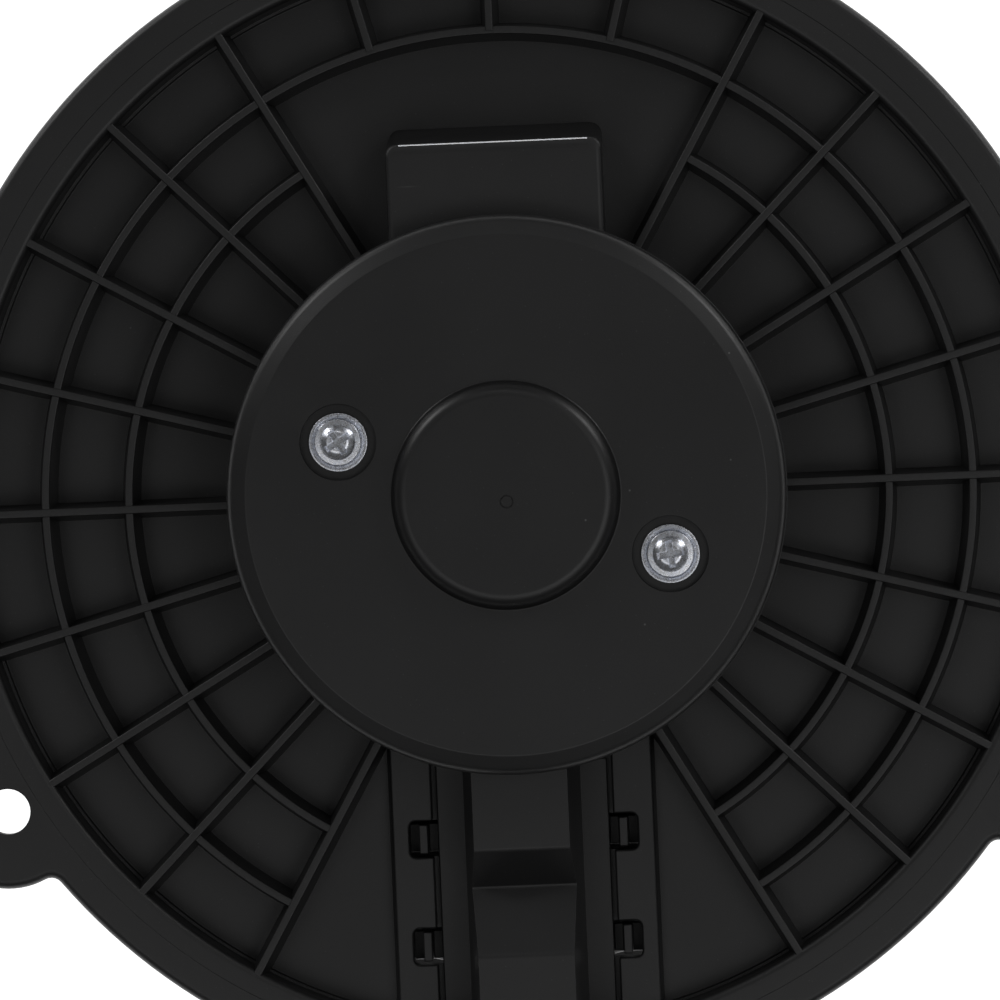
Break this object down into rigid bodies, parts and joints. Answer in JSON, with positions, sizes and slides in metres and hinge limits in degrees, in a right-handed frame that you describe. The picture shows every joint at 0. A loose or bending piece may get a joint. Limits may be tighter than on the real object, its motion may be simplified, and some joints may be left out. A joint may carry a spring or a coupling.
{
  "type": "blower motor wheel",
  "caption": "Round flanged heater-blower motor with a ribbed dish, domed motor cover, cooling duct, covered cable channel and forward-curved fan wheel.",
  "frame": {"origin": "centre of the mounting hole circle, on the flange's mounting face and the motor axis", "axes": "+Z along the motor axis towards the motor cover, +Y towards the cooling duct, -Y towards the connector"},
  "size_m": [0.188, 0.2053, 0.102],
  "materials": {
    "flange_plastic": "fine moulded grain, black glass-filled polypropylene",
    "cover_plastic": "fine moulded grain, black",
    "wire_cover_plastic": "fine moulded grain, black",
    "connector_plastic": "smooth moulded, black",
    "wheel_plastic": "satin moulded, black",
    "screw_zinc": "bright zinc plate",
    "terminal_tin": "tinned brass",
    "wire_insulation": "satin insulation",
    "can_steel": "zinc plated deep-drawn steel",
    "ferrite": "ground ferrite",
    "spring_steel": "bright spring steel",
    "lamination_steel": "stacked silicon steel",
    "copper": "enamelled copper",
    "bronze": "oil-filled sintered bronze",
    "brass_sheet": "pressed brass",
    "phenolic": "moulded phenolic",
    "carbon": "copper-graphite",
    "nylon": "natural nylon",
    "isolator_rubber": "soft rubber"
  },
  "bodies": {
    "housing": {"mounting_flange": "flange_plastic", "motor_cover": "cover_plastic", "cover_screws": "screw_zinc", "cover_screw_washers": "screw_zinc", "wire_cover": "wire_cover_plastic", "connector_shell": "connector_plastic", "connector_terminals": "terminal_tin", "lead_wires": "wire_insulation", "motor_housing": "can_steel", "motor_end_plate": "can_steel", "isolator_ring": "isolator_rubber", "isolator_pads": "isolator_rubber", "field_magnets": "ferrite", "magnet_springs": "spring_steel", "upper_bearing": "bronze", "lower_bearing": "bronze", "bearing_retainers": "spring_steel", "brush_card": "phenolic", "brush_holders": "brass_sheet", "front_brush_spring": "spring_steel", "rear_brush_spring": "spring_steel", "front_brush_lead": "copper", "rear_brush_lead": "copper", "chokes": "copper"},
    "rotor": {"motor_shaft": "spring_steel", "armature_core": "lamination_steel", "armature_windings": "copper", "shaft_spacers": "nylon", "thrust_washers": "nylon", "commutator_core": "phenolic", "commutator_bars": "copper", "fan_wheel": "wheel_plastic", "hub_insert": "brass_sheet", "retaining_clip": "spring_steel", "balance_clips": "spring_steel"},
    "front_brush": {"front_brush": "carbon"},
    "rear_brush": {"rear_brush": "carbon"}
  },
  "joints": [
    {"name": "wheel_spin", "type": "hinge", "parent": "housing", "child": "rotor", "pos_m": [0, 0, 0], "axis": [0, 0, 1], "continuous": true},
    {"name": "front_brush_slide", "type": "slide", "parent": "housing", "child": "front_brush", "axis": [0, -1, 0], "range_m": [0, 0.0025], "stiffness_N_per_m": 300, "springref_m": -0.004, "deforming": ["front_brush_spring", "front_brush_lead"]},
    {"name": "rear_brush_slide", "type": "slide", "parent": "housing", "child": "rear_brush", "axis": [0, 1, 0], "range_m": [0, 0.0025], "stiffness_N_per_m": 300, "springref_m": -0.004, "deforming": ["rear_brush_spring", "rear_brush_lead"]}
  ]
}
